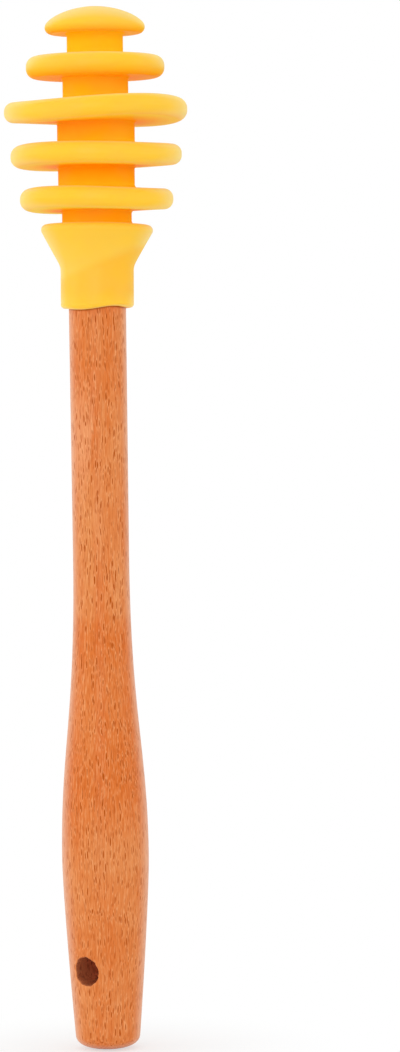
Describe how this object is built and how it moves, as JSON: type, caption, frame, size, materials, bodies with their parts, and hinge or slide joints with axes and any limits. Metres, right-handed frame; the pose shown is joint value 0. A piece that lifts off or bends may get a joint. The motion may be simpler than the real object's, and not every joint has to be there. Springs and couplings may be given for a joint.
{
  "type": "honey dipper",
  "caption": "Honey dipper with a turned beech handle, swollen at the grip and drilled for hanging, and a soft ringed silicone head that pushes onto the handle.",
  "frame": {"origin": "tip of the handle's butt end, on the dipper's own axis, which is its lowest point", "axes": "+Z along the dipper's axis from the butt to the cap, Y along the hanging hole, whose mouth in the picture is the -Y one"},
  "size_m": [0.0368, 0.0368, 0.21],
  "materials": {
    "beech": "oiled, fine flecked grain along the handle",
    "silicone": "satin moulded silicone, honey yellow"
  },
  "bodies": {
    "handle": {"wooden_handle": "beech"},
    "head": {"silicone_head": "silicone"}
  },
  "joints": [
    {"name": "head_pull", "type": "slide", "parent": "handle", "child": "head", "axis": [0, 0, 1], "range_m": [0, 0.05]}
  ]
}
